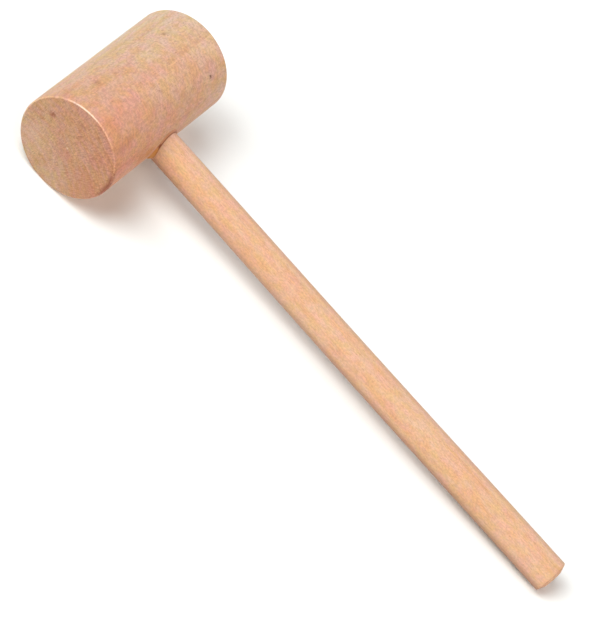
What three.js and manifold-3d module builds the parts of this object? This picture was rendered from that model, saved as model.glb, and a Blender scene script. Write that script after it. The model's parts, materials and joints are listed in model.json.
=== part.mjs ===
// A small turned wooden mallet, lying at rest on a bench.
//
// Units are millimetres, +Z is up and the bench top is z = 0. The head is a plain cylinder whose
// axis runs along X. The handle is a round stick, slightly thicker towards its butt, glued into a
// blind bore in the side of the head. It points towards -Y and slopes down until its butt touches
// the bench. The origin is the centre of the bottom of the whole mallet's box.
//
// Every piece is drawn in the mallet's own straight frame (head axis along X, handle axis along Y,
// origin at the middle of the head), and one group tilts and places them all.

import * as THREE from 'three';
import { mergeVertices } from 'three/addons/utils/BufferGeometryUtils.js';
import Module from 'manifold-3d';

const wasm = await Module();
wasm.setup();

// Driving dimensions.
const HEAD_DIAMETER = 28.6;
const HEAD_LENGTH = 52;
const HEAD_RIM_ROUND = 0.5; // radius of the eased edge round each striking face
const NECK_DIAMETER = 9.15; // of the handle inside the head and just outside it
const BUTT_DIAMETER = 9.9; // of the handle at its free end
const TAPER_START = 1.5; // how far outside the head the handle begins to thicken
const HANDLE_REACH = 161.7; // from the head's axis to the end of the butt
const BUTT_CHAMFER = { depth: 0.85, width: 2.1 }; // along the handle, and across it
const TENON_CHAMFER = 0.6; // eases the hidden end of the handle into the bore
const BORE_DEPTH = 20; // from the outside of the head to the end of the bore's straight wall
const BORE_CLEARANCE = 0.3; // radial room for the glue round the handle
const DRILL_POINT_ANGLE = 118; // degrees, across the whole cone
const TENON_END_GAP = 0.6; // between the handle's hidden end and the drill's cone
const GLUE_GAP = 0.03; // keeps the solid glue film just clear of both pieces of wood
const BEAD_HEIGHT = 0.5; // how far the squeezed-out glue stands off the head
const BEAD_WIDTH = 0.75; // how far it spreads from the handle

// Facet counts.
const HEAD_SEGMENTS = 96;
const HANDLE_SEGMENTS = 48;
const RIM_SEGMENTS = 4;

// Lengths that follow from the driving dimensions.
const HEAD_RADIUS = HEAD_DIAMETER / 2;
const NECK_RADIUS = NECK_DIAMETER / 2;
const BUTT_RADIUS = BUTT_DIAMETER / 2;
const BORE_RADIUS = NECK_RADIUS + BORE_CLEARANCE;
const BORE_END_Y = BORE_DEPTH - HEAD_RADIUS;
const TENON_END_Y = BORE_END_Y - TENON_END_GAP;
const OUTSIDE_HEAD_Y = -2 * HEAD_RADIUS;

const MERGE_TOLERANCE = 1e-5;

// Looks.
const HEAD_LOOK = { color: 0xd9a388, roughness: 0.62, metalness: 0 };
const HANDLE_LOOK = { color: 0xefb98f, roughness: 0.5, metalness: 0 };
const GLUE_LOOK = { color: 0xb9853f, roughness: 0.35, metalness: 0 };

// The points of an outline, as [radius, height] pairs, turned about the Y axis.
function turned(outline, segments) {
  return new THREE.LatheGeometry(outline.map(([r, y]) => new THREE.Vector2(r, y)), segments);
}

// A quarter-circle of points round (centreR, centreY), starting at the angle `from` in degrees.
function quarterRound(centreR, centreY, radius, from) {
  const points = [];
  for (let i = 0; i <= RIM_SEGMENTS; i += 1) {
    const angle = THREE.MathUtils.degToRad(from + (90 * i) / RIM_SEGMENTS);
    points.push([centreR + radius * Math.cos(angle), centreY + radius * Math.sin(angle)]);
  }
  return points;
}

// A solid for cutting and joining, made from a closed geometry.
function toSolid(geometry) {
  geometry.deleteAttribute('normal');
  geometry.deleteAttribute('uv');
  const merged = mergeVertices(geometry, MERGE_TOLERANCE);
  const corners = merged.index.array;
  const triVerts = [];
  for (let i = 0; i < corners.length; i += 3) {
    const [a, b, c] = corners.slice(i, i + 3);
    if (a !== b && b !== c && c !== a) triVerts.push(a, b, c);
  }
  return new wasm.Manifold(
    new wasm.Mesh({
      numProp: 3,
      vertProperties: merged.attributes.position.array,
      triVerts: new Uint32Array(triVerts),
    }),
  );
}

function toGeometry(solid) {
  const mesh = solid.getMesh();
  const geometry = new THREE.BufferGeometry();
  geometry.setAttribute('position', new THREE.BufferAttribute(mesh.vertProperties, 3));
  geometry.setIndex(new THREE.BufferAttribute(mesh.triVerts, 1));
  geometry.computeVertexNormals();
  return geometry;
}

// A cylinder along X, with rounded rims when `round` is above zero.
function cylinderAlongX(radius, length, round) {
  const end = length / 2;
  const outline = round > 0
    ? [
      [0, -end],
      ...quarterRound(radius - round, -end + round, round, -90),
      ...quarterRound(radius - round, end - round, round, 0),
      [0, end],
    ]
    : [[0, -end], [radius, -end], [radius, end], [0, end]];
  return turned(outline, HEAD_SEGMENTS).rotateZ(-Math.PI / 2);
}

// A sleeve round the Y axis.
function sleeve(innerRadius, outerRadius, bottomY, topY) {
  const outline = [
    [innerRadius, bottomY],
    [outerRadius, bottomY],
    [outerRadius, topY],
    [innerRadius, topY],
    [innerRadius, bottomY],
  ];
  return turned(outline, HANDLE_SEGMENTS);
}

// The drilled hole: open at the handle side of the head, with the drill's cone at its end.
function borePlug() {
  const halfPoint = THREE.MathUtils.degToRad(DRILL_POINT_ANGLE / 2);
  const coneTipY = BORE_END_Y + BORE_RADIUS / Math.tan(halfPoint);
  const outline = [
    [0, OUTSIDE_HEAD_Y],
    [BORE_RADIUS, OUTSIDE_HEAD_Y],
    [BORE_RADIUS, BORE_END_Y],
    [0, coneTipY],
  ];
  return turned(outline, HANDLE_SEGMENTS);
}

function headGeometry() {
  const blank = toSolid(cylinderAlongX(HEAD_RADIUS, HEAD_LENGTH, HEAD_RIM_ROUND));
  return toGeometry(blank.subtract(toSolid(borePlug())));
}

function handleGeometry() {
  const outline = [
    [0, -HANDLE_REACH],
    [BUTT_RADIUS - BUTT_CHAMFER.width, -HANDLE_REACH],
    [BUTT_RADIUS, -HANDLE_REACH + BUTT_CHAMFER.depth],
    [NECK_RADIUS, -HEAD_RADIUS - TAPER_START],
    [NECK_RADIUS, TENON_END_Y - TENON_CHAMFER],
    [NECK_RADIUS - TENON_CHAMFER, TENON_END_Y],
    [0, TENON_END_Y],
  ];
  return turned(outline, HANDLE_SEGMENTS);
}

// The ring of squeezed-out glue that follows the curve where the handle enters the head.
function beadSolid() {
  const ring = toSolid(
    sleeve(NECK_RADIUS + GLUE_GAP, NECK_RADIUS + BEAD_WIDTH, OUTSIDE_HEAD_Y, 0),
  );
  const above = toSolid(cylinderAlongX(HEAD_RADIUS + BEAD_HEIGHT, HEAD_LENGTH, 0));
  const below = toSolid(cylinderAlongX(HEAD_RADIUS + GLUE_GAP, HEAD_LENGTH, 0));
  return ring.intersect(above).subtract(below);
}

// The film of glue in the bore, joined to the bead outside it.
function glueGeometry() {
  const film = toSolid(
    sleeve(NECK_RADIUS + GLUE_GAP, BORE_RADIUS - GLUE_GAP, OUTSIDE_HEAD_Y, TENON_END_Y),
  );
  const skin = toSolid(cylinderAlongX(HEAD_RADIUS + BEAD_HEIGHT, HEAD_LENGTH, 0));
  return toGeometry(film.intersect(skin).add(beadSolid()));
}

function piece(name, geometry, look) {
  const mesh = new THREE.Mesh(geometry, new THREE.MeshStandardMaterial(look));
  mesh.name = name;
  return mesh;
}

// The slope at which the head and the lower edge of the butt both touch the bench.
function restTilt() {
  const reach = HANDLE_REACH - BUTT_CHAMFER.depth;
  const span = Math.hypot(reach, BUTT_RADIUS);
  return Math.asin(HEAD_RADIUS / span) - Math.atan2(BUTT_RADIUS, reach);
}

// How far the head stands from the middle of the mallet's box, along Y.
function headOffset(tilt) {
  const topEdge = {
    along: HANDLE_REACH - BUTT_CHAMFER.depth,
    across: BUTT_RADIUS,
  };
  const faceEdge = {
    along: HANDLE_REACH,
    across: BUTT_RADIUS - BUTT_CHAMFER.width,
  };
  const forward = ({ along, across }) => along * Math.cos(tilt) + across * Math.sin(tilt);
  return (Math.max(forward(topEdge), forward(faceEdge)) - HEAD_RADIUS) / 2;
}

function mallet() {
  const tilt = restTilt();
  const pieces = new THREE.Group();
  pieces.add(
    piece('head', headGeometry(), HEAD_LOOK),
    piece('handle', handleGeometry(), HANDLE_LOOK),
    piece('glue_bond', glueGeometry(), GLUE_LOOK),
  );
  pieces.rotation.x = tilt;
  pieces.position.set(0, headOffset(tilt), HEAD_RADIUS);
  return pieces;
}

const group = new THREE.Group();
group.add(mallet());

export default group;
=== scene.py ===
# The looks of a small turned wooden mallet: fine meshes, solid wood, soft light and a camera.
#
# Shapes are drawn in the mallet's own straight frame, in millimetres: x runs along the head, the
# handle points along -y, z is up and the origin is the middle of the head. PLACE carries that
# frame to where the CAD model lies. All relief is cut inwards, and the handle's bow is slight enough
# to stay inside the CAD's box.

import json
import math

import bpy
import numpy as np
from mathutils import Matrix, Vector


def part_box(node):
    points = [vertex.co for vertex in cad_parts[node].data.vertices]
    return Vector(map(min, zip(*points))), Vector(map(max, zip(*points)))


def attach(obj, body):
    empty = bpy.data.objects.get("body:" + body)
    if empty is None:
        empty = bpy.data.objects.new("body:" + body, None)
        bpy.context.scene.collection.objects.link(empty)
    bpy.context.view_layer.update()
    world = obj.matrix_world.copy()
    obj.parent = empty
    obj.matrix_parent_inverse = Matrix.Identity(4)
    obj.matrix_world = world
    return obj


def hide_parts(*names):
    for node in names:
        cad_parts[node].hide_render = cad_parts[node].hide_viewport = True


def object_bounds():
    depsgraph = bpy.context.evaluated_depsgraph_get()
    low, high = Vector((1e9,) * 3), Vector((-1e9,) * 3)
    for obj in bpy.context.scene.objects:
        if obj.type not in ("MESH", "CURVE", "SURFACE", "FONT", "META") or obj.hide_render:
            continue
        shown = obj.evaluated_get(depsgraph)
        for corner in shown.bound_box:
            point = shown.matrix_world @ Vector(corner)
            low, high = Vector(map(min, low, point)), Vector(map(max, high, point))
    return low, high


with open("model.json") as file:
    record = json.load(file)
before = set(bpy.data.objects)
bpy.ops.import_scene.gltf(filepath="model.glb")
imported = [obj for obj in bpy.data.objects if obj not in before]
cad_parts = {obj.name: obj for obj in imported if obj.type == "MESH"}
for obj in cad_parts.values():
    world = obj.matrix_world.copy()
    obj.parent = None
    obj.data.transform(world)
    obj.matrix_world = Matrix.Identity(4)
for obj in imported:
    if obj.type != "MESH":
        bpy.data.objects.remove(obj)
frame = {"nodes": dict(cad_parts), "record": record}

CAD_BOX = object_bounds()

# ------------------------------------------------------------------ sizes read from the frame

MOUNTS = {mount["name"]: mount for mount in frame["record"]["mounts"]}
BUTT_AXIS = MOUNTS["butt_end"]["axis"]
TILT = math.atan2(-BUTT_AXIS[2], -BUTT_AXIS[1])
HEAD_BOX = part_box("head")
HEAD_CENTRE = (HEAD_BOX[0] + HEAD_BOX[1]) / 2
MM = 0.001                 # in metres
PLACE = Matrix.Translation(HEAD_CENTRE) @ Matrix.Rotation(TILT, 4, "X") @ Matrix.Scale(MM, 4)


def straight_box(node):
    """A CAD node's lowest and highest corners in the straight frame, in millimetres."""
    to_straight = PLACE.inverted()
    points = np.array([to_straight @ v.co for v in frame["nodes"][node].data.vertices])
    return points.min(axis=0), points.max(axis=0)


_, HEAD_HIGH = straight_box("head")
HANDLE_LOW, HANDLE_HIGH = straight_box("handle")
HALF_LENGTH = float(HEAD_HIGH[0])
HEAD_RADIUS = float(HEAD_HIGH[2])
BUTT_RADIUS = float(HANDLE_HIGH[0])
BUTT_Y = float(HANDLE_LOW[1])
TENON_Y = float(HANDLE_HIGH[1])

# ------------------------------------------------------------------ shape details, millimetres

RIM_ROUND = 0.5            # eased edge of each striking face
RIM_WEAR = 0.12            # how much deeper the rim is worn in places
HANDLE_TAPER = 0.375       # how much smaller the neck's radius is than the butt's
TAPER_START = 1.5          # how far outside the head the handle begins to thicken
BORE_CLEARANCE = 0.3       # radial room for the glue round the handle
BORE_MOUTH_EASE = 0.1      # softened edge where the handle enters the head
TENON_END_GAP = 0.6        # between the handle's hidden end and the drill's cone
DRILL_POINT_ANGLE = 118.0  # degrees, across the whole cone
BUTT_CHAMFER_DEPTH = 0.85  # along the handle
BUTT_CHAMFER_WIDTH = 2.1   # across it
BUTT_ROUND = 0.8           # where the flat end of the butt meets its chamfer
SHOULDER_ROUND = 0.35      # where that chamfer meets the side of the handle
TENON_CHAMFER = 0.6        # on the handle's hidden end
TENON_ROUND = 0.15         # on both edges of that chamfer
HANDLE_BOW = 0.22          # how far the handle has warped at its middle
BOW_SLOPE = 225.0          # which way it has warped, in degrees from +x towards +z
BOW_START = 2.0            # how far outside the head the warp begins
GLUE_CLEARANCE = 0.03      # between the glue and both pieces of wood
GLUE_SPREAD = 0.9          # how far the fattest squeezed-out glue spreads from the bore
GLUE_CLIMB = 1.05          # how far it climbs the handle
GLUE_LUMP_AT = 185.0       # where most glue was squeezed out, in degrees from +x towards +z
GLUE_LUMP_WIDTH = 0.5      # how far round the handle the lump spreads, in radians
GLUE_RIPPLE = 0.35         # how uneven the rest of the squeezed-out glue is
GLUE_EVENNESS = 0.5        # how much of the swelling is all round, and not in the lump
FILLET_PULL = (0.5, 0.7)   # bends the fillet's curve: share of its spread, share of its climb
DARKEST_GAP_SHADE_AT = 143.0        # where the painted shade in the gap between the glue and the handle is darkest
CENTRE_MARK_RADIUS = 0.45  # small pit left by the lathe in the middle of each face
CENTRE_MARK_DEPTH = 0.12
FACE_WAVE = 0.03           # mean depth of the slow waves in each face
FACE_WAVE_RATES = (0.25, 0.31)  # of those waves along y and z, in radians per millimetre
FACE_DENTS = 9             # on each face
FACE_DENT_REACH = 0.75     # how far from the middle they lie, as a share of the head's radius
FACE_DENT_DEPTH = 0.09
FACE_DENT_WIDTHS = (0.7, 1.8)
DENT_WIDTHS = (0.5, 1.3)   # of the dents on barrel and handle
DENT_SHARES = (0.3, 1.0)   # how deep single dents are, as shares of the deepest
WAVE_COUNT = 9             # how many waves make up each soft relief
MOST_TURNS = 5             # the most times one of them repeats round a piece
BARREL_WAVES = {"depth": 0.06, "wavelength": 34}
BARREL_DENTS = {"depth": 0.09, "count": 16}
HANDLE_WAVES = {"depth": 0.05, "wavelength": 60}
HANDLE_DENTS = {"depth": 0.06, "count": 22}
SHARP_ANGLE = 38.0         # edges steeper than this many degrees are shaded sharp

NECK_RADIUS = BUTT_RADIUS - HANDLE_TAPER  # the handle inside the head and just outside it
BORE_RADIUS = NECK_RADIUS + BORE_CLEARANCE
BORE_END_Y = TENON_Y + TENON_END_GAP
CONE_DEPTH = BORE_RADIUS / math.tan(math.radians(DRILL_POINT_ANGLE / 2))

HEAD_COLUMNS = 240         # points round the head; a multiple of 4
FACE_RINGS = 48
BARREL_ROWS = 128          # even, so that one row runs through the handle's axis
PATCH_CELLS = 18           # half the side of the square of cells that the bore replaces
PATCH_RINGS = 8
PATCH_CROWDING = 0.8       # below 1 crowds the rings of that patch towards the bore
BORE_RINGS = 8
CONE_RINGS = 4
HANDLE_COLUMNS = 96
HANDLE_ROWS = 410
BUTT_RINGS = 10
CHAMFER_ROWS = 8
TENON_CHAMFER_ROWS = 3
TENON_RINGS = 8
GLUE_COLUMNS = 144
FILLET_ROWS = 9
GLUE_WALL_ROWS = 7
ROUND_STEPS = 8

BARREL_SEED = 11
FACE_SEEDS = {1: 12, 2: 13}  # by side of the head: 1 towards +x, 2 towards -x
RIM_SEEDS = {1: 22, 2: 23}
HANDLE_SEED = 31
GLUE_SEED = 41


# ------------------------------------------------------------------ relief cut into the wood


def soft_waves(along, around, rng, depth, wavelength):
    """A smooth random relief that closes round the piece, between -depth and 0."""
    total = 0.0
    for _ in range(WAVE_COUNT):
        turns = rng.integers(1, MOST_TURNS + 1)
        rate = 2 * math.pi * rng.uniform(-1, 1) / wavelength
        total = total + np.sin(turns * around + rate * along + rng.uniform(0, 2 * math.pi))
    return depth * (total / WAVE_COUNT - 1) / 2


def nearest_turn(angle, start):
    """The turn from start to angle the short way round, in radians."""
    return np.angle(np.exp(1j * (angle - start)))


def dents(along, around, radius, rng, span, depth, count):
    """Shallow round dents scattered over a turned surface."""
    relief = 0.0
    for _ in range(count):
        place = rng.uniform(*span)
        angle = rng.uniform(0, 2 * math.pi)
        width = rng.uniform(*DENT_WIDTHS)
        distance = (along - place) ** 2 + (radius * nearest_turn(around, angle)) ** 2
        relief = relief - depth * rng.uniform(*DENT_SHARES) * np.exp(-distance / width ** 2)
    return relief


def barrel_relief(x, phi):
    rng = np.random.default_rng(BARREL_SEED)
    span = (-HALF_LENGTH, HALF_LENGTH)
    waves = soft_waves(x, phi, rng, **BARREL_WAVES)
    return waves + dents(x, phi, HEAD_RADIUS, rng, span, **BARREL_DENTS)


def face_relief(radius, phi, side):
    """A striking face: nearly flat, with knocks from use and the lathe's centre mark."""
    rng = np.random.default_rng(FACE_SEEDS[side])
    y, z = radius * np.cos(phi), radius * np.sin(phi)
    rate_y, rate_z = FACE_WAVE_RATES
    relief = -FACE_WAVE * (1 + np.sin(rate_y * y + side) * np.sin(rate_z * z + 1.0))
    for _ in range(FACE_DENTS):
        place = rng.uniform(-FACE_DENT_REACH, FACE_DENT_REACH, 2) * HEAD_RADIUS
        width = rng.uniform(*FACE_DENT_WIDTHS)
        distance = (y - place[0]) ** 2 + (z - place[1]) ** 2
        depth = FACE_DENT_DEPTH * rng.uniform(*DENT_SHARES)
        relief = relief - depth * np.exp(-distance / width ** 2)
    return relief - CENTRE_MARK_DEPTH * np.clip(1 - radius / CENTRE_MARK_RADIUS, 0, 1)


def rim_wear(phi, side):
    """Extra wear round the rim of one striking face."""
    rng = np.random.default_rng(RIM_SEEDS[side])
    return soft_waves(0.0, phi, rng, depth=RIM_WEAR, wavelength=1.0)


def handle_relief(y, turn):
    rng = np.random.default_rng(HANDLE_SEED)
    span = (BUTT_Y, -HEAD_RADIUS)
    waves = soft_waves(y, turn, rng, **HANDLE_WAVES)
    return waves + dents(y, turn, BUTT_RADIUS, rng, span, **HANDLE_DENTS)


def handle_girth(y):
    """How thick the handle is, as a share of its thickness at the butt."""
    neck_y = -HEAD_RADIUS - TAPER_START
    towards_head = np.clip((y - BUTT_Y) / (neck_y - BUTT_Y), 0, 1)
    return 1 + (NECK_RADIUS / BUTT_RADIUS - 1) * towards_head


def handle_bow(y):
    """The sideways and upward shift of the warped handle, which is straight inside the head."""
    start = -HEAD_RADIUS - BOW_START
    free = np.clip((start - y) / (start - BUTT_Y), 0, 1)
    shift = HANDLE_BOW * np.sin(math.pi * free) ** 2
    slope = math.radians(BOW_SLOPE)
    return shift * math.cos(slope), shift * math.sin(slope)


# ------------------------------------------------------------------ mesh building


class Shell:
    """Points and faces of one closed surface, collected ring by ring."""

    def __init__(self):
        self.points = []
        self.faces = []

    def ring(self, points):
        first = len(self.points)
        self.points.extend(map(tuple, points))
        return list(range(first, len(self.points)))

    def bridge(self, a, b, skip=()):
        """Quads between two rings of the same count, leaving out the columns in skip."""
        count = len(a)
        for j in range(count):
            if j not in skip:
                k = (j + 1) % count
                self.faces.append((a[j], a[k], b[k], b[j]))

    def cap(self, ring, tip):
        (centre,) = self.ring([tip])
        for j, point in enumerate(ring):
            self.faces.append((centre, point, ring[(j + 1) % len(ring)]))

    def mesh(self, name):
        """A Blender mesh in the row frame, with unused points dropped and normals outward."""
        used = sorted({point for face in self.faces for point in face})
        renumber = {old: new for new, old in enumerate(used)}
        points = [PLACE @ Vector(self.points[old]) for old in used]
        faces = [tuple(renumber[point] for point in face) for face in self.faces]
        mesh = bpy.data.meshes.new(name)
        mesh.from_pydata(points, [], faces)
        turn_outward(mesh)
        mesh.shade_smooth()
        mesh.set_sharp_from_angle(angle=math.radians(SHARP_ANGLE))
        return mesh


def turn_outward(mesh):
    """All faces of a Shell wind the same way, so one signed volume tells which way that is."""
    mesh.calc_loop_triangles()
    volume = 0.0
    for triangle in mesh.loop_triangles:
        a, b, c = (mesh.vertices[i].co for i in triangle.vertices)
        volume += a.dot(b.cross(c))
    if volume < 0:
        mesh.flip_normals()


def turned_profile(corners, rounds, steps):
    """Rows down a turned outline: along, radius, and the outward normal's two parts.

    corners are (along, radius) pairs from the axis back to the axis. rounds has a radius for
    each corner off the axis, and steps has the number of rows on each straight stretch.
    """
    corners = np.array(corners, float)
    directions = np.diff(corners, axis=0)
    lengths = np.linalg.norm(directions, axis=1)
    directions /= lengths[:, None]
    normals = np.column_stack([-directions[:, 1], directions[:, 0]])
    turns = np.arccos(np.clip((directions[:-1] * directions[1:]).sum(axis=1), -1, 1))
    cutbacks = np.concatenate([[0], np.array(rounds) * np.tan(turns / 2), [0]])
    rows = []
    for i, count in enumerate(steps):
        start = corners[i] + directions[i] * cutbacks[i]
        end = corners[i + 1] - directions[i] * cutbacks[i + 1]
        for t in np.linspace(0, 1, count + 1):
            rows.append((*(start + t * (end - start)), *normals[i]))
        if i < len(rounds):
            middle = end - normals[i] * rounds[i]
            for t in np.linspace(0, 1, ROUND_STEPS + 1)[1:-1]:
                before, after = math.sin((1 - t) * turns[i]), math.sin(t * turns[i])
                normal = normals[i] * before + normals[i + 1] * after
                normal /= np.linalg.norm(normal)
                rows.append((*(middle + normal * rounds[i]), *normal))
    return np.array(rows)


def head_point(x, phi, radius):
    """Points of the head, with phi measured from the handle's side upwards."""
    return np.column_stack([x, -radius * np.cos(phi), radius * np.sin(phi)])


def skin_radius(x, phi):
    return HEAD_RADIUS + barrel_relief(x, phi)


def head_rings(shell, profile):
    """One ring of points for each row of the profile, pushed in by the relief."""
    phi = 2 * math.pi * np.arange(HEAD_COLUMNS) / HEAD_COLUMNS
    rings = []
    for x, radius, normal_x, normal_r in profile:
        side = 1 if x > 0 else 2
        edge = (2 * normal_x * normal_r) ** 2  # 1 halfway round the rim, 0 off it
        relief = barrel_relief(x, phi) * normal_r ** 2
        relief = relief + face_relief(radius, phi, side) * normal_x ** 2 + rim_wear(phi, side) * edge
        columns = head_point(x + normal_x * relief, phi, radius + normal_r * relief)
        rings.append(shell.ring(columns))
    return rings


def square_loop(half):
    """(row, column) steps round a square of cells, each from -half to half."""
    forward = list(range(-half, half))
    backward = [-step for step in forward]
    return (
        [(-half, j) for j in forward]
        + [(i, half) for i in forward]
        + [(half, j) for j in backward]
        + [(i, -half) for i in backward]
    )


def bore_ring(radius, turn, depth):
    """A ring of the bore's wall at a depth below the head's surface."""
    x, z = radius * np.cos(turn), radius * np.sin(turn)
    phi = np.arcsin(z / HEAD_RADIUS)
    y = depth - np.sqrt(skin_radius(x, phi) ** 2 - z ** 2)
    return np.column_stack([x, y, z])


def add_bore(shell, rings, profile, middle):
    """Fills the square hole in the barrel with rings that shrink to the bore, then the bore."""
    loop = square_loop(PATCH_CELLS)
    previous = [rings[middle + i][j % HEAD_COLUMNS] for i, j in loop]
    x = np.array([profile[middle + i][0] for i, _ in loop])
    arc = np.array([2 * math.pi * j / HEAD_COLUMNS for _, j in loop]) * HEAD_RADIUS
    turn = np.arctan2(arc, x)
    mouth = BORE_RADIUS + BORE_MOUTH_EASE
    mouth_x = mouth * np.cos(turn)
    mouth_arc = HEAD_RADIUS * np.arcsin(mouth * np.sin(turn) / HEAD_RADIUS)
    for step in range(1, PATCH_RINGS + 1):
        t = (step / PATCH_RINGS) ** PATCH_CROWDING
        ring_x = x + t * (mouth_x - x)
        phi = (arc + t * (mouth_arc - arc)) / HEAD_RADIUS
        ring = shell.ring(head_point(ring_x, phi, skin_radius(ring_x, phi)))
        shell.bridge(previous, ring)
        previous = ring
    top = bore_ring(BORE_RADIUS, turn, BORE_MOUTH_EASE)
    end = np.column_stack([top[:, 0], np.full(len(turn), BORE_END_Y), top[:, 2]])
    for t in np.linspace(0, 1, BORE_RINGS + 1):
        ring = shell.ring(top + t * (end - top))
        shell.bridge(previous, ring)
        previous = ring
    tip = np.array([0.0, BORE_END_Y + CONE_DEPTH, 0.0])
    for t in np.linspace(0, 1, CONE_RINGS + 1)[1:-1]:
        ring = shell.ring(end + t * (tip - end))
        shell.bridge(previous, ring)
        previous = ring
    shell.cap(previous, tip)


def head_mesh():
    profile = turned_profile(
        corners=[
            (-HALF_LENGTH, 0),
            (-HALF_LENGTH, HEAD_RADIUS),
            (HALF_LENGTH, HEAD_RADIUS),
            (HALF_LENGTH, 0),
        ],
        rounds=[RIM_ROUND, RIM_ROUND],
        steps=[FACE_RINGS, BARREL_ROWS, FACE_RINGS],
    )[1:-1]
    shell = Shell()
    rings = head_rings(shell, profile)
    middle = int(np.argmin(np.abs(profile[:, 0])))
    columns = {j % HEAD_COLUMNS for j in range(-PATCH_CELLS, PATCH_CELLS)}
    for i in range(len(rings) - 1):
        beside_bore = middle - PATCH_CELLS <= i < middle + PATCH_CELLS
        shell.bridge(rings[i], rings[i + 1], skip=columns if beside_bore else ())
    add_bore(shell, rings, profile, middle)
    pit_x = HALF_LENGTH - FACE_WAVE - CENTRE_MARK_DEPTH
    shell.cap(rings[0][::-1], (-pit_x, 0, 0))
    shell.cap(rings[-1], (pit_x, 0, 0))
    return shell.mesh("mallet_head")


def handle_mesh():
    """Turned to the butt's thickness all along, then thinned towards the head and bowed."""
    profile = turned_profile(
        corners=[
            (BUTT_Y, 0),
            (BUTT_Y, BUTT_RADIUS - BUTT_CHAMFER_WIDTH),
            (BUTT_Y + BUTT_CHAMFER_DEPTH, BUTT_RADIUS),
            (TENON_Y - TENON_CHAMFER, BUTT_RADIUS),
            (TENON_Y, BUTT_RADIUS - TENON_CHAMFER),
            (TENON_Y, 0),
        ],
        rounds=[BUTT_ROUND, SHOULDER_ROUND, TENON_ROUND, TENON_ROUND],
        steps=[BUTT_RINGS, CHAMFER_ROWS, HANDLE_ROWS, TENON_CHAMFER_ROWS, TENON_RINGS],
    )[1:-1]
    turn = 2 * math.pi * np.arange(HANDLE_COLUMNS) / HANDLE_COLUMNS
    shell = Shell()
    rings = []
    for y, radius, normal_y, normal_r in profile:
        relief = handle_relief(y, turn) * normal_r ** 2
        ring_r = radius * handle_girth(y) + normal_r * relief
        ring_y = np.full(len(turn), y) + normal_y * relief
        bow_x, bow_z = handle_bow(ring_y)
        ring_x = ring_r * np.cos(turn) + bow_x
        ring_z = ring_r * np.sin(turn) + bow_z
        rings.append(shell.ring(np.column_stack([ring_x, ring_y, ring_z])))
    for a, b in zip(rings, rings[1:]):
        shell.bridge(a, b)
    shell.cap(rings[0][::-1], (0, BUTT_Y, 0))
    shell.cap(rings[-1], (0, TENON_Y, 0))
    return shell.mesh("mallet_handle")


def glue_swell(turn):
    """How much glue was squeezed out at each angle round the handle, from 0 to 1."""
    lump = np.exp(-(nearest_turn(turn, math.radians(GLUE_LUMP_AT)) / GLUE_LUMP_WIDTH) ** 2)
    rng = np.random.default_rng(GLUE_SEED)
    ripple = 1 + soft_waves(0.0, turn, rng, depth=GLUE_RIPPLE, wavelength=1.0)
    return np.clip(GLUE_EVENNESS * ripple + (1 - GLUE_EVENNESS) * lump, 0, 1)


def bent(t, start, pull, end):
    """A place along the curve from start to end that bends towards pull."""
    return start * (1 - t) ** 2 + pull * 2 * t * (1 - t) + end * t ** 2


def glue_mesh():
    """A sleeve of glue in the bore whose outer end swells into an uneven fillet."""
    turn = 2 * math.pi * np.arange(GLUE_COLUMNS) / GLUE_COLUMNS
    swell = glue_swell(turn)
    inner = np.full(GLUE_COLUMNS, NECK_RADIUS + GLUE_CLEARANCE)
    wall = np.full(GLUE_COLUMNS, BORE_RADIUS - GLUE_CLEARANCE)
    lip = wall + BORE_MOUTH_EASE + GLUE_SPREAD * swell
    climb = GLUE_CLIMB * swell
    pull_out, pull_up = FILLET_PULL
    shell = Shell()
    rings = []
    for t in np.linspace(0, 1, FILLET_ROWS):
        radius = bent(t, inner, inner + pull_out * (lip - inner), lip)
        height = bent(t, climb, pull_up * climb, GLUE_CLEARANCE)
        rings.append(shell.ring(bore_ring(radius, turn, -height)))
    rings.append(shell.ring(bore_ring(lip, turn, np.full(GLUE_COLUMNS, -GLUE_CLEARANCE / 2))))
    rings.append(shell.ring(bore_ring(wall + BORE_MOUTH_EASE, turn, -GLUE_CLEARANCE / 2)))
    top = bore_ring(wall, turn, BORE_MOUTH_EASE)
    end = np.column_stack([top[:, 0], np.full(GLUE_COLUMNS, TENON_Y), top[:, 2]])
    for t in np.linspace(0, 1, GLUE_WALL_ROWS):
        rings.append(shell.ring(top + t * (end - top)))
    inside_end = np.column_stack([inner * np.cos(turn), end[:, 1], inner * np.sin(turn)])
    inside_top = bore_ring(inner, turn, -climb)
    for t in np.linspace(0, 1, GLUE_WALL_ROWS)[:-1]:
        rings.append(shell.ring(inside_end + t * (inside_top - inside_end)))
    for a, b in zip(rings, rings[1:] + rings[:1]):
        shell.bridge(a, b)
    return shell.mesh("mallet_glue")


# ------------------------------------------------------------------ shader building

# The sockets of a mix node that mixes colours.
MIX_FACTOR, MIX_A, MIX_B = 0, 6, 7
MIX_RESULT = 2


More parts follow.
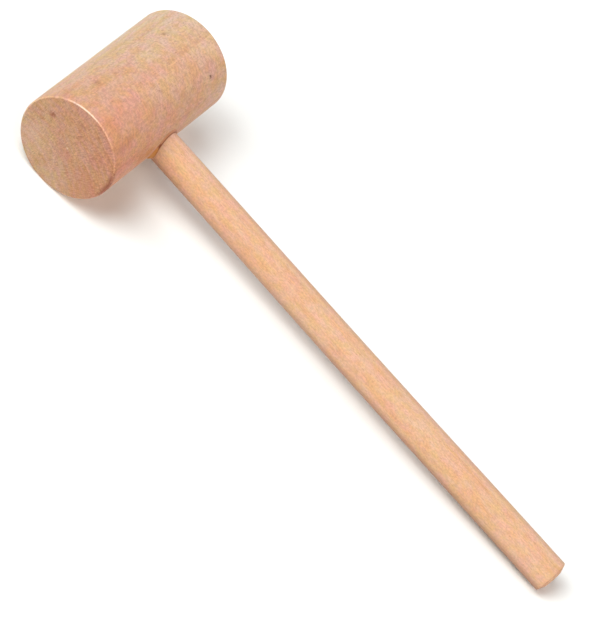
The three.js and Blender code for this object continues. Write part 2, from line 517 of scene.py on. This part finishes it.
class Graph:
    """Adds shader nodes to a material and links them, so that a material reads top to bottom."""

    def __init__(self, name):
        self.material = bpy.data.materials.new(name)
        self.material.use_nodes = True
        self.tree = self.material.node_tree
        self.surface = self.tree.nodes["Principled BSDF"]

    def put(self, socket, value):
        if isinstance(value, bpy.types.NodeSocket):
            self.tree.links.new(value, socket)
        elif value is not None:
            socket.default_value = value

    def add(self, kind, inputs=None, output=0, **settings):
        node = self.tree.nodes.new(kind)
        for name, value in settings.items():
            setattr(node, name, value)
        for name, value in (inputs or {}).items():
            self.put(node.inputs[name], value)
        return node.outputs[output]

    def math(self, operation, a, b=None):
        return self.add("ShaderNodeMath", {0: a, 1: b}, operation=operation)

    def vector_math(self, operation, a, b, output=0):
        return self.add("ShaderNodeVectorMath", {0: a, 1: b}, output, operation=operation)

    def axes(self, vector):
        node = self.tree.nodes.new("ShaderNodeSeparateXYZ")
        self.put(node.inputs[0], vector)
        return node.outputs

    def vector(self, x, y, z):
        return self.add("ShaderNodeCombineXYZ", {0: x, 1: y, 2: z})

    def noise(self, vector, scale=1.0, detail=2.0, roughness=0.5):
        inputs = {"Vector": vector, "Scale": scale, "Detail": detail, "Roughness": roughness}
        return self.add("ShaderNodeTexNoise", inputs, "Fac")

    def spread(self, value, low, high, to_low=0.0, to_high=1.0):
        """Maps low..high to to_low..to_high along a smooth step."""
        inputs = {
            "Value": value,
            "From Min": low,
            "From Max": high,
            "To Min": to_low,
            "To Max": to_high,
        }
        return self.add("ShaderNodeMapRange", inputs, interpolation_type="SMOOTHSTEP")

    def mix(self, factor, a, b, blend="MIX"):
        node = self.tree.nodes.new("ShaderNodeMix")
        node.data_type = "RGBA"
        node.blend_type = blend
        self.put(node.inputs[MIX_FACTOR], factor)
        self.put(node.inputs[MIX_A], a)
        self.put(node.inputs[MIX_B], b)
        return node.outputs[MIX_RESULT]

    def scaled(self, color, amount):
        """The colour times a grey value."""
        return self.mix(1.0, color, self.vector(amount, amount, amount), "MULTIPLY")

    def bump(self, height):
        """Relief on the surface, from a height in millimetres."""
        normal = self.add("ShaderNodeBump", {"Strength": 1.0, "Distance": MM, "Height": height})
        self.put(self.surface.inputs["Normal"], normal)


def srgb(red, green, blue):
    """A linear colour from 0..255 display values."""
    values = [value / 255 for value in (red, green, blue)]
    return (*[v / 12.92 if v <= 0.04045 else ((v + 0.055) / 1.055) ** 2.4 for v in values], 1.0)


# Sizes of the wood's patterns in millimetres: along the grain and across it, or, for the patterns
# that follow the rings, along the grain, outwards from the pith and round it.
WANDER_SIZE = (45.0, 11.0, 11.0)
BLOTCH_SIZE = (20.0, 5.0, 5.0)
FIBRE_WIDTH = 0.24
FLECK_WIDTH = 0.3
GOLD_SIZE = (3.4, 1.5, 3.4)
ROSE_SIZE = (4.3, 1.9, 4.6)
SHADE_SIZE = (0.6, 0.36, 0.7)
FINE_RAY_SIZE = (0.5, 1.3, 0.26)

# The values of a pattern's noise between which it fades in.
BLOTCH_FADE = (0.3, 0.7)
FIBRE_FADE = (0.2, 0.8)
FLECK_FADE = (0.62, 0.76)
RAY_FADE = (0.6, 0.74)
HUE_FADE = (0.35, 0.65)
SHADE_FADE = (0.3, 0.7)
FINE_RAY_FADE = (0.3, 0.72)

LATE_WOOD = (0.35, 0.95)   # where late wood fades in, as shares of a ring's width
RING_DRIFT = 1.6           # how far, in rings, their even spacing is disturbed
RING_DRIFT_RATE = 0.23     # how often that changes on the way outwards, per millimetre
CONTRAST_SPAN = (0.1, 0.9)  # the blotches between which the contrast of the rings changes
CONTRAST_SHARES = (0.3, 1.7)  # from weakest to strongest, as shares of the recipe's
END_GRAIN = (0.45, 0.9)    # cosine of the angle from grain to normal: no end grain, and all of it
END_GRAIN_RINGS = 0.008    # how far late wood stands proud on end grain, in millimetres
END_GRAIN_ROUGHER = 0.12
FINE_RAY_SHADES = (1.1, 0.81)  # on end grain, between the fine rays and in them
ROUGHNESS_SWING = 0.06     # how much the fibres change the roughness, either way

# The strongest shifts of hue and shade, as shares of the recipe's mottle.
GOLD_BLUE = 1.4
ROSE_RED = 0.2
ROSE_GREEN = 0.4
SHADE_GREY = 0.75


def straight_coordinates(graph, grain_along_y):
    """Straight-frame millimetres, turned so that the first axis runs along the grain."""
    turn = Matrix.Rotation(math.radians(90), 4, "Z") if grain_along_y else Matrix.Identity(4)
    to_grain = turn @ PLACE.inverted()
    place, rotation, _ = to_grain.decompose()
    inputs = {
        "Vector": graph.add("ShaderNodeTexCoord", output="Object"),
        "Location": place,
        "Rotation": rotation.to_euler(),
        "Scale": (1 / MM, 1 / MM, 1 / MM),
    }
    return graph.add("ShaderNodeMapping", inputs, vector_type="POINT"), to_grain.to_3x3().normalized()


def stretched_noise(graph, place, size, detail=2.0, roughness=0.5):
    """Noise whose blobs are so many millimetres long along each axis of the place."""
    return graph.noise(graph.vector_math("DIVIDE", place, size), detail=detail, roughness=roughness)


def growth_rings(graph, grain, recipe):
    """0 in early to 1 in late wood, and the place as lengths along, out from and round the pith."""
    along, across_a, across_b = graph.axes(grain)
    wander = graph.math("SUBTRACT", stretched_noise(graph, grain, WANDER_SIZE), 0.5)
    a = graph.math("ADD", across_a, graph.math("MULTIPLY", wander, recipe["wander"]))
    a = graph.math("SUBTRACT", a, recipe["pith"][0])
    b = graph.math("SUBTRACT", across_b, recipe["pith"][1])
    squares = graph.math("ADD", graph.math("MULTIPLY", a, a), graph.math("MULTIPLY", b, b))
    radius = graph.math("POWER", squares, 0.5)
    outwards = graph.math("MULTIPLY", radius, RING_DRIFT_RATE)
    uneven = graph.noise(graph.vector(outwards, 0.0, 0.0), detail=1.0)
    phase = graph.math("DIVIDE", radius, recipe["ring"])
    phase = graph.math("ADD", phase, graph.math("MULTIPLY", uneven, RING_DRIFT))
    late = graph.spread(graph.math("FRACT", phase), *LATE_WOOD)
    around = graph.math("MULTIPLY", graph.math("ARCTAN2", b, a), math.hypot(*recipe["pith"]))
    return late, graph.vector(along, radius, around)


def tinted(graph, color, amount, low, high):
    """The colour, multiplied by a tint between low and high."""
    return graph.mix(1.0, color, graph.mix(amount, (*low, 1.0), (*high, 1.0)), "MULTIPLY")


def mottled(graph, from_pith, color, amount):
    """Slight shifts of hue and shade that follow the growth rings, between gold and rose."""
    gold = stretched_noise(graph, from_pith, GOLD_SIZE, detail=4.0, roughness=0.6)
    rose = stretched_noise(graph, from_pith, ROSE_SIZE, detail=4.0, roughness=0.6)
    gold = graph.spread(gold, *HUE_FADE)
    rose = graph.spread(rose, *HUE_FADE)
    shade = graph.spread(stretched_noise(graph, from_pith, SHADE_SIZE), *SHADE_FADE)
    red, green, blue = ROSE_RED * amount, ROSE_GREEN * amount, GOLD_BLUE * amount
    grey = SHADE_GREY * amount
    color = tinted(graph, color, gold, (1, 1, 1 + blue), (1, 1, 1 - blue))
    color = tinted(graph, color, rose, (1 - red, 1 + green, 1), (1 + red, 1 - green, 1))
    return graph.scaled(color, graph.spread(shade, 0.0, 1.0, 1 - grey, 1 + grey))


def end_grain_mask(graph, grain_axis):
    """1 where the surface cuts across the grain, 0 where it runs along it."""
    normal = graph.add("ShaderNodeTexCoord", output="Normal")
    facing = graph.vector_math("DOT_PRODUCT", normal, grain_axis, "Value")
    return graph.spread(graph.math("ABSOLUTE", facing), *END_GRAIN)


def rim_depth(graph, grain):
    """How far a point of the head's skin lies below its outermost corner, along or to the axis."""
    along, across_a, across_b = graph.axes(grain)
    from_axis = graph.vector_math("LENGTH", graph.vector(0.0, across_a, across_b), None, "Value")
    inside = graph.math("SUBTRACT", HEAD_RADIUS, from_axis)
    inward = graph.math("SUBTRACT", HALF_LENGTH, graph.math("ABSOLUTE", along))
    return graph.math("MAXIMUM", inside, inward)


def wood(name, recipe):
    """Solid wood: rings, rays, fibres, dark specks, a mottled tint and duller end grain."""
    graph = Graph(name)
    grain, to_grain = straight_coordinates(graph, recipe["grain_along_y"])
    late, from_pith = growth_rings(graph, grain, recipe)
    ray = graph.spread(stretched_noise(graph, from_pith, recipe["ray_size"], detail=1.0), *RAY_FADE)
    fibre_size = (recipe["fibre_length"], FIBRE_WIDTH, FIBRE_WIDTH)
    fibre = stretched_noise(graph, grain, fibre_size, detail=3.0, roughness=0.65)
    fleck_size = (recipe["fleck_length"], FLECK_WIDTH, FLECK_WIDTH)
    fleck = graph.spread(stretched_noise(graph, grain, fleck_size, detail=1.0), *FLECK_FADE)
    blotch = graph.spread(stretched_noise(graph, grain, BLOTCH_SIZE, detail=3.0), *BLOTCH_FADE)
    end_grain = end_grain_mask(graph, tuple(to_grain.row[0]))

    contrasts = [share * recipe["ring_contrast"] for share in CONTRAST_SHARES]
    contrast = graph.spread(blotch, *CONTRAST_SPAN, *contrasts)
    color = graph.mix(graph.math("MULTIPLY", late, contrast), recipe["early"], recipe["late"])
    color = graph.mix(graph.math("MULTIPLY", blotch, recipe["blotch"]), color, recipe["warm"])
    fibre_shades = (1 - recipe["fibre"], 1 + recipe["fibre"])
    color = graph.scaled(color, graph.spread(fibre, *FIBRE_FADE, *fibre_shades))
    color = mottled(graph, from_pith, color, recipe["mottle"])
    color = graph.mix(graph.math("MULTIPLY", ray, recipe["ray"]), color, recipe["ray_color"])
    color = graph.mix(graph.math("MULTIPLY", fleck, recipe["fleck"]), color, recipe["fleck_color"])
    color = graph.mix(end_grain, color, graph.mix(1.0, color, recipe["end_tint"], "MULTIPLY"))
    fine_rays = stretched_noise(graph, from_pith, FINE_RAY_SIZE)
    fine_rays = graph.spread(fine_rays, *FINE_RAY_FADE, *FINE_RAY_SHADES)
    color = graph.mix(end_grain, color, graph.scaled(color, fine_rays))
    smooth, coarse = recipe["roughness"] - ROUGHNESS_SWING, recipe["roughness"] + ROUGHNESS_SWING
    rough = graph.spread(fibre, *FIBRE_FADE, smooth, coarse)
    rough = graph.math("ADD", rough, graph.math("MULTIPLY", end_grain, END_GRAIN_ROUGHER))
    for treatment in recipe["treatments"]:
        color, rough = treatment(graph, grain, color, rough)
    graph.put(graph.surface.inputs["Base Color"], color)
    graph.put(graph.surface.inputs["Roughness"], rough)
    graph.put(graph.surface.inputs["Specular IOR Level"], recipe["specular"])

    height = graph.math("MULTIPLY", fibre, recipe["fibre_height"])
    height = graph.math("SUBTRACT", height, graph.math("MULTIPLY", fleck, recipe["fleck_depth"]))
    proud = graph.math("MULTIPLY", late, graph.math("MULTIPLY", end_grain, END_GRAIN_RINGS))
    graph.bump(graph.math("ADD", height, proud))
    return graph.material


PATCH_RAGGED = 1.6         # how far a patch's edge wanders, as a share of its size
RIM_MARK_CORE = 0.2        # how much of a rim mark's width is at full strength
BURNISH_DEPTHS = (0.45, 0.85)  # below the corner, in rim rounds: last full wear, first without
BURNISH_PATCHES = (0.3, 0.6)  # the noise between which the rubbing goes from least to full
BURNISH_LEAST = 0.35
# the rims' paler tint: partly wear, partly a painted highlight
BURNISH_AND_HIGHLIGHT_TINT = (1.3, 1.42, 1.5, 1.0)
BURNISH_ROUGHNESS = 0.4    # what is left of the roughness where a rim is fully rubbed
DRIFT_SPAN = (-0.1, 1.1)   # where a slow change of colour is rosiest, and palest
# Painted shade on the handle's underside, where the floor beneath it lies in shadow.
UNDERSIDE_SHADE_COLOR = srgb(140, 84, 46)
UNDERSIDE_SHADE_FACING = (-0.15, 0.6)  # how squarely the skin faces down: no painted shade, and most
UNDERSIDE_SHADE_STRENGTH = 0.75
UNDERSIDE_SHADE_ALONG = (20.0, 150.0)  # from the head's axis: least and most painted shade, in millimetres
UNDERSIDE_SHADE_LEAST = 0.7


def patch_amount(graph, grain, place, size, strength):
    """From strength at a point to 0 at a ragged edge, about size millimetres away."""
    ragged = graph.math("SUBTRACT", graph.noise(grain, scale=2.2, detail=3.0), 0.5)
    distance = graph.vector_math("DISTANCE", grain, place, "Value")
    distance = graph.math("ADD", distance, graph.math("MULTIPLY", ragged, PATCH_RAGGED * size))
    return graph.spread(distance, 0.0, size, strength, 0.0)


def stain_and_painted_light(place, size, color, strength):
    """A ragged patch on the wood, centred on a point in grain coordinates; used for stains and for
    painted light.
    """
    def apply(graph, grain, base, rough):
        return graph.mix(patch_amount(graph, grain, place, size, strength), base, color), rough
    return apply


def rim_mark_and_painted_light(place, size, width, color, strength):
    """A mark along a stretch of the head's rim, up to width millimetres from its corner; used for
    dirt, for painted shade and for a painted highlight.
    """
    def apply(graph, grain, base, rough):
        amount = patch_amount(graph, grain, place, size, strength)
        near_rim = graph.spread(rim_depth(graph, grain), RIM_MARK_CORE * width, width, 1.0, 0.0)
        return graph.mix(graph.math("MULTIPLY", amount, near_rim), base, color), rough
    return apply


def burnished_rims_and_highlight(graph, grain, base, rough):
    """The eased rims of the head, rubbed smoother by handling and made paler, partly by that wear and
    partly as a painted highlight.
    """
    rubbed, untouched = [share * RIM_ROUND for share in BURNISH_DEPTHS]
    rim = graph.spread(rim_depth(graph, grain), rubbed, untouched, 1.0, 0.0)
    patches = graph.spread(graph.noise(grain, scale=0.11), *BURNISH_PATCHES, BURNISH_LEAST, 1.0)
    rim = graph.math("MULTIPLY", rim, patches)
    paler = graph.mix(1.0, base, BURNISH_AND_HIGHLIGHT_TINT, "MULTIPLY")
    smoother = graph.spread(rim, 0.0, 1.0, 1.0, BURNISH_ROUGHNESS)
    return graph.mix(rim, base, paler), graph.math("MULTIPLY", rough, smoother)


def drift(towards, start, rosy, pale):
    """A slow change of colour across the whole piece, rosier one way and paler the other."""
    def apply(graph, grain, base, rough):
        across = graph.vector_math("DOT_PRODUCT", grain, towards, "Value")
        amount = graph.spread(graph.math("ADD", across, start), *DRIFT_SPAN)
        return tinted(graph, base, amount, rosy, pale), rough
    return apply


def shaded_underside(graph, grain, base, rough):
    """Painted shade on the handle's underside, most of all towards the butt, where it lies nearest
    the floor.
    """
    normal = graph.add("ShaderNodeTexCoord", output="Normal")
    down = graph.math("MULTIPLY", graph.axes(normal)[2], -1.0)
    amount = graph.spread(down, *UNDERSIDE_SHADE_FACING, 0.0, UNDERSIDE_SHADE_STRENGTH)
    towards_butt = graph.spread(graph.axes(grain)[0], *UNDERSIDE_SHADE_ALONG, UNDERSIDE_SHADE_LEAST, 1.0)
    amount = graph.math("MULTIPLY", amount, towards_butt)
    return graph.mix(amount, base, UNDERSIDE_SHADE_COLOR), rough


FACE_A, FACE_B = -HALF_LENGTH, HALF_LENGTH

HEAD_WOOD = {
    "grain_along_y": False,
    "pith": (9.0, -27.0),
    "ring": 2.1,
    "wander": 2.4,
    "ring_contrast": 0.3,
    "early": srgb(204, 163, 135),
    "late": srgb(188, 138, 108),
    "warm": srgb(201, 148, 114),
    "blotch": 0.45,
    "fibre_length": 1.6,
    "fibre": 0.12,
    "mottle": 0.12,
    "ray": 0.3,
    "ray_size": (1.2, 3.0, 0.5),
    "ray_color": srgb(166, 116, 88),
    "fleck_length": 0.7,
    "fleck": 0.45,
    "fleck_color": srgb(140, 94, 72),
    "end_tint": (0.8, 0.775, 0.735, 1.0),
    "roughness": 0.55,
    "specular": 0.35,
    "fibre_height": 0.03,
    "fleck_depth": 0.03,
    "treatments": [
        drift((0.018, 0.019, -0.03), 0.86, (0.98, 0.82, 0.8), (1.0, 1.12, 1.14)),
        stain_and_painted_light((FACE_A, 8.4, 4.4), 1.5, srgb(126, 62, 32), 0.7),
        stain_and_painted_light((FACE_A, -1.0, -1.9), 3.4, srgb(176, 108, 80), 0.35),
        stain_and_painted_light((FACE_A, 0.0, 0.1), 0.45, srgb(240, 215, 190), 0.5),
        # darker towards the bottom of the near face, on the handle's side
        stain_and_painted_light((FACE_A, -9.4, -4.5), 7.0, srgb(172, 108, 66), 0.42),
        # painted highlight: a paler patch on the near face, away from the handle
        stain_and_painted_light((FACE_A, 8.6, -6.4), 6.5, srgb(228, 192, 170), 0.18),
        # painted shade on the near rim beside the handle, where it lies in shadow
        rim_mark_and_painted_light((FACE_A, -13.6, 1.3), 8.5, 1.7, srgb(122, 56, 34), 0.8),
        stain_and_painted_light((18.5, -9.1, 11.0), 0.8, srgb(92, 52, 30), 0.85),
        stain_and_painted_light((-15.0, 7.2, 12.4), 1.4, srgb(140, 96, 60), 0.55),
        stain_and_painted_light((14.2, 6.5, 12.7), 0.8, srgb(120, 80, 54), 0.6),
        # these two: painted warm light reflected from the handle and floor onto the barrel beside the
        # joint
        stain_and_painted_light((-9.0, -13.7, 3.0), 3.4, srgb(178, 112, 40), 0.6),
        stain_and_painted_light((-12.5, -13.6, 4.0), 3.2, srgb(178, 112, 40), 0.45),
        stain_and_painted_light((FACE_B, -4.0, -7.5), 1.4, srgb(120, 74, 50), 0.7),
        stain_and_painted_light((FACE_B, 7.0, 6.0), 3.4, srgb(176, 116, 84), 0.3),
        stain_and_painted_light((6.0, 10.5, -9.7), 1.1, srgb(100, 64, 44), 0.8),
        rim_mark_and_painted_light((FACE_B, 9.0, -10.5), 7.0, 1.7, srgb(126, 66, 46), 0.5),
        burnished_rims_and_highlight,
        # painted highlight along the top of the near rim, where light glints off its rounding
        rim_mark_and_painted_light((FACE_A, 2.8, 13.8), 7.0, 0.45, srgb(255, 238, 214), 0.75),
    ],
}

HANDLE_WOOD = {
    "grain_along_y": True,
    "pith": (31.0, 17.0),
    "ring": 2.6,
    "wander": 1.6,
    "ring_contrast": 0.3,
    "early": srgb(208, 163, 131),
    "late": srgb(197, 145, 106),
    "warm": srgb(206, 154, 118),
    "blotch": 0.5,
    "fibre_length": 3.0,
    "fibre": 0.09,
    "mottle": 0.1,
    "ray": 0.15,
    "ray_size": (1.2, 3.0, 0.5),
    "ray_color": srgb(184, 132, 88),
    "fleck_length": 0.9,
    "fleck": 0.4,
    "fleck_color": srgb(164, 110, 74),
    "end_tint": (0.98, 0.95, 0.88, 1.0),
    "roughness": 0.43,
    "specular": 0.5,
    "fibre_height": 0.025,
    "fleck_depth": 0.03,
    # painted shade on the handle's underside
    "treatments": [shaded_underside],
}


def ring_point(angle):
    """The point on the handle's skin at an angle from +x towards +z, in degrees."""
    angle = math.radians(angle)
    return (NECK_RADIUS * math.cos(angle), 0.0, NECK_RADIUS * math.sin(angle))


GLUE_COLORS = (srgb(198, 146, 112), srgb(182, 124, 92))
AMBER_COLORS = (srgb(198, 140, 74), srgb(168, 106, 54))
# Painted shade in the crease where the glue meets the handle, darkest on one side of the gap.
CREASE_SHADE_COLOR = srgb(112, 48, 24)
AMBER_REACH = (1.8, 4.2)   # from the middle of the lump: all amber, and none, in millimetres
CREASE_SHADE_REACH = (0.14, 0.5)   # from the handle: darkest painted shade, and none, in millimetres
CREASE_SHADE_ROUND = (0.8, 3.0)    # from the middle of the gap: darkest painted shade, and lightest, in millimetres
CREASE_SHADE_AMOUNTS = (0.95, 0.6)  # at those two places
CREASE_SHADE_IN_AMBER = 0.45       # how much of the painted shade is left in the lump
GAP_SHADE_REACH = (0.45, 1.0)    # from the middle of the gap: dark, and not, in millimetres
GAP_SHADE_DARKNESS = 0.9
GLUE_CLOUDS = (0.2, 0.8)   # the noise between which the roughness changes
GLUE_ROUGHNESS = (0.45, 0.6)
GLUE_SPECULAR = 0.2
GLUE_RELIEF = 0.05         # millimetres


def glue_material():
    """Dried glue: amber in the lump, like the wood elsewhere, with painted shade in the crease where
    it meets the handle.
    """
    graph = Graph("dried_wood_glue")
    place, _ = straight_coordinates(graph, False)
    x, _, z = graph.axes(place)
    ring_place = graph.vector(x, 0.0, z)
    from_axis = graph.vector_math("LENGTH", ring_place, None, "Value")
    from_lump = graph.vector_math("DISTANCE", ring_place, ring_point(GLUE_LUMP_AT), "Value")
    from_gap = graph.vector_math("DISTANCE", ring_place, ring_point(DARKEST_GAP_SHADE_AT), "Value")
    cloud = graph.noise(place, scale=1.5, detail=3.0)
    amber = graph.spread(from_lump, *AMBER_REACH, 1.0, 0.0)
    color = graph.mix(cloud, *GLUE_COLORS)
    color = graph.mix(amber, color, graph.mix(cloud, *AMBER_COLORS))
    # painted shade in the crease between the glue and the handle
    darkest, unshaded = [NECK_RADIUS + reach for reach in CREASE_SHADE_REACH]
    at_handle = graph.spread(from_axis, darkest, unshaded, 1.0, 0.0)
    crease_shade = graph.spread(from_gap, *CREASE_SHADE_ROUND, *CREASE_SHADE_AMOUNTS)
    crease_shade = graph.math("MULTIPLY", crease_shade, graph.spread(amber, 0.0, 1.0, 1.0, CREASE_SHADE_IN_AMBER))
    crease_shade = graph.math("MULTIPLY", at_handle, crease_shade)
    crease_shade = graph.math("MAXIMUM", crease_shade, graph.spread(from_gap, *GAP_SHADE_REACH, GAP_SHADE_DARKNESS, 0.0))
    color = graph.mix(crease_shade, color, CREASE_SHADE_COLOR)
    roughness = graph.spread(cloud, *GLUE_CLOUDS, *GLUE_ROUGHNESS)
    graph.put(graph.surface.inputs["Base Color"], color)
    graph.put(graph.surface.inputs["Roughness"], roughness)
    graph.put(graph.surface.inputs["Specular IOR Level"], GLUE_SPECULAR)
    graph.bump(graph.math("MULTIPLY", cloud, GLUE_RELIEF))
    return graph.material


# ------------------------------------------------------------------ the pieces


def add_piece(mesh, material, node):
    """Puts a mesh in the scene in place of a CAD node."""
    mesh.materials.append(material)
    piece = bpy.data.objects.new(mesh.name, mesh)
    bpy.context.scene.collection.objects.link(piece)
    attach(piece, "root")
    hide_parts(node)


add_piece(head_mesh(), wood("head_beech", HEAD_WOOD), "head")
add_piece(handle_mesh(), wood("handle_dowel", HANDLE_WOOD), "handle")
add_piece(glue_mesh(), glue_material(), "glue_bond")

# ------------------------------------------------------------------ floor, light and camera

FLOOR_SIZE = 8.0           # metres
FLOOR_GREY = 0.9
FLOOR_ROUGHNESS = 0.9
SEEN_SKY = 1.1             # how bright the backdrop looks to the camera
SOFTBOX_WIDTH = 36.0       # degrees
SOFTBOXES = {              # compass angle from +x and height angle in degrees, strength, colour
    "key": (135, 40, 2.02, (0.94, 1.0, 0.98)),
    "top": (120, 62, 1.64, (0.93, 0.99, 1.0)),
    "fill_right": (0, 40, 0.93, (0.99, 1.0, 1.0)),
    "fill_left": (225, 40, 1.1, (1.0, 0.9, 0.78)),
    "fill_low": (270, 18, 0.89, (1.0, 0.8, 0.78)),
}

CAMERA_AZIMUTH = -86.63    # degrees; 0 looks along +y
CAMERA_ELEVATION = 44.48
CAMERA_ROLL = 43.3
CAMERA_DISTANCE = 0.9945   # metres
CAMERA_LENS = 227.4        # millimetres
CAMERA_REACH = 100         # how far the camera sees, in metres
AIM_OFFSET = Vector((-0.0036, 0.0045, -0.0034))  # from the middle of the mallet's box


def add_floor():
    graph = Graph("floor_white")
    graph.put(graph.surface.inputs["Base Color"], (FLOOR_GREY, FLOOR_GREY, FLOOR_GREY, 1.0))
    graph.put(graph.surface.inputs["Roughness"], FLOOR_ROUGHNESS)
    graph.put(graph.surface.inputs["Specular IOR Level"], 0.0)
    half = FLOOR_SIZE / 2
    mesh = bpy.data.meshes.new("floor")
    corners = [(-half, -half, 0), (half, -half, 0), (half, half, 0), (-half, half, 0)]
    mesh.from_pydata(corners, [], [range(len(corners))])
    mesh.materials.append(graph.material)
    floor = bpy.data.objects.new("floor", mesh)
    bpy.context.scene.collection.objects.link(floor)


def add_sky():
    """A backdrop that the camera sees as plain white and that gives no light."""
    world = bpy.data.worlds.new("studio")
    world.use_nodes = True
    nodes, links = world.node_tree.nodes, world.node_tree.links
    background = nodes["Background"]
    path = nodes.new("ShaderNodeLightPath")
    strength = nodes.new("ShaderNodeMath")
    strength.operation = "MULTIPLY"
    strength.inputs[1].default_value = SEEN_SKY
    links.new(path.outputs["Is Camera Ray"], strength.inputs[0])
    links.new(strength.outputs[0], background.inputs["Strength"])
    background.inputs["Color"].default_value = (1.0, 1.0, 1.0, 1.0)
    bpy.context.scene.world = world


def direction(compass, height):
    """The unit vector towards a compass angle from +x and an angle above the horizon, in degrees."""
    compass, height = math.radians(compass), math.radians(height)
    level = math.cos(height)
    return Vector((math.cos(compass) * level, math.sin(compass) * level, math.sin(height)))


def add_softbox(name, compass, height, strength, color):
    """A wide, distant light, so that it lights the whole floor evenly."""
    light = bpy.data.lights.new(name, "SUN")
    light.energy = strength
    light.color = color
    light.angle = math.radians(SOFTBOX_WIDTH)
    softbox = bpy.data.objects.new(name, light)
    softbox.rotation_mode = "QUATERNION"
    softbox.rotation_quaternion = direction(compass, height).to_track_quat("Z", "Y")
    bpy.context.scene.collection.objects.link(softbox)


def add_camera():
    back = direction(CAMERA_AZIMUTH - 90, CAMERA_ELEVATION)
    camera = bpy.data.objects.new("camera", bpy.data.cameras.new("camera"))
    camera.data.lens = CAMERA_LENS
    camera.data.clip_end = CAMERA_REACH
    camera.location = (CAD_BOX[0] + CAD_BOX[1]) / 2 + AIM_OFFSET + back * CAMERA_DISTANCE
    level = (-back).to_track_quat("-Z", "Y").to_matrix().to_4x4()
    roll = Matrix.Rotation(math.radians(CAMERA_ROLL), 4, "Z")
    camera.rotation_mode = "QUATERNION"
    camera.rotation_quaternion = (level @ roll).to_quaternion()
    bpy.context.scene.collection.objects.link(camera)
    bpy.context.scene.camera = camera


add_floor()
add_sky()
for softbox_name, placing in SOFTBOXES.items():
    add_softbox(softbox_name, *placing)
add_camera()
bpy.context.scene.view_settings.view_transform = "Standard"
